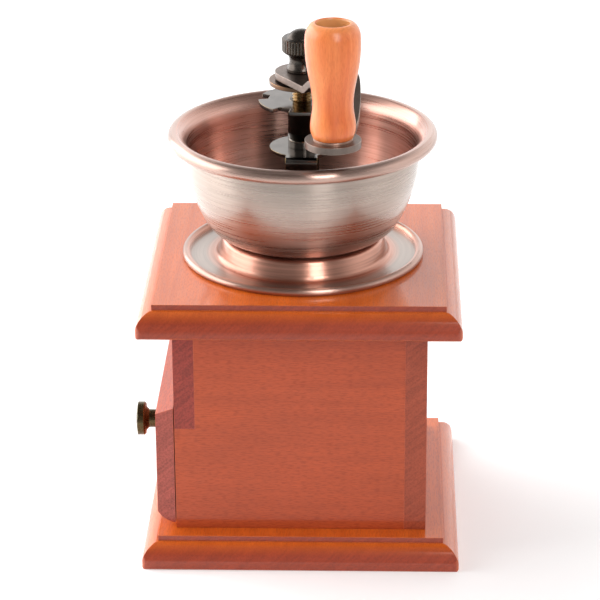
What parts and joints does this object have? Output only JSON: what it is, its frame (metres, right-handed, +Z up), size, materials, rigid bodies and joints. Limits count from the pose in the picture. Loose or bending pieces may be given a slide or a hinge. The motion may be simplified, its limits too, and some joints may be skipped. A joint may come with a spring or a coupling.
{
  "type": "manual coffee grinder",
  "caption": "Hand-cranked box coffee grinder: wooden box with a drawer for the grounds, an open hopper bowl and a conical burr mill turned by a crank with a wooden grip.",
  "frame": {"origin": "middle of the base board's flat underside", "axes": "+Z up along the spindle, -X the way the drawer opens, -Y the wide side wall that faces the viewer"},
  "size_m": [0.1314, 0.1319, 0.223],
  "materials": {
    "stained_beech": "cherry-brown stain under satin lacquer",
    "plain_beech": "sanded, unstained",
    "lacquered_beech": "orange stain under gloss lacquer",
    "copper_plate": "copper-plated, brushed round",
    "black_steel": "blackened, satin, edges rubbed bright",
    "bronzed_steel": "aged bronze plate",
    "brassed_steel": "brass-plated, dull",
    "aged_brass": "aged, dark in the recesses",
    "zinc_steel": "zinc-plated",
    "grey_iron": "as cast, ground on the seats"
  },
  "bodies": {
    "box": {"base_board": "stained_beech", "cap_board": "stained_beech", "side_panel_near": "stained_beech", "side_panel_far": "stained_beech", "back_panel": "stained_beech", "front_rail": "stained_beech", "base_screws": "zinc_steel", "cap_dowels": "plain_beech", "dish": "copper_plate", "hopper_bowl": "copper_plate", "bridge": "black_steel", "bridge_bush": "black_steel", "hopper_bolts": "zinc_steel", "bolt_washers": "zinc_steel", "bolt_nuts": "zinc_steel", "burr_housing": "grey_iron", "outer_burr": "grey_iron"},
    "adjuster": {"adjusting_wheel": "black_steel", "adjusting_sleeve": "black_steel"},
    "lock": {"lock_plate": "bronzed_steel"},
    "crank": {"spindle": "brassed_steel", "inner_burr": "grey_iron", "burr_washer": "zinc_steel", "burr_nut": "zinc_steel", "burr_spring": "zinc_steel", "spacer_washer": "black_steel", "crank_arm": "bronzed_steel", "cap_nut": "black_steel", "handle_pin": "zinc_steel", "handle_washer": "black_steel"},
    "grip": {"handle_grip": "lacquered_beech"},
    "drawer": {"drawer_front": "stained_beech", "drawer_side_near": "plain_beech", "drawer_side_far": "plain_beech", "drawer_back": "plain_beech", "drawer_bottom": "plain_beech", "drawer_knob": "aged_brass", "knob_screw": "zinc_steel", "drawer_dowels": "plain_beech", "drawer_nails": "zinc_steel"}
  },
  "joints": [
    {"name": "crank_turn", "type": "hinge", "parent": "box", "child": "adjuster", "pos_m": [0, 0, 0.16], "axis": [0, 0, 1], "continuous": true},
    {"name": "spindle_lift", "type": "slide", "parent": "adjuster", "child": "lock", "axis": [0, 0, 1], "range_m": [-0.0012, 0], "deforming": ["burr_spring"]},
    {"name": "grind_adjust", "type": "hinge", "parent": "lock", "child": "crank", "pos_m": [0, 0, 0.182], "axis": [0, 0, 1], "range_deg": [-346, 0]},
    {"name": "handle_spin", "type": "hinge", "parent": "crank", "child": "grip", "pos_m": [0.0132, -0.0589, 0.2], "axis": [0, 0, 1], "continuous": true},
    {"name": "drawer_slide", "type": "slide", "parent": "box", "child": "drawer", "axis": [-1, 0, 0], "range_m": [0, 0.07]}
  ],
  "couplings": [
    {"joint": "grind_adjust", "follows": "spindle_lift", "rad_per_m": 5026.5}
  ]
}
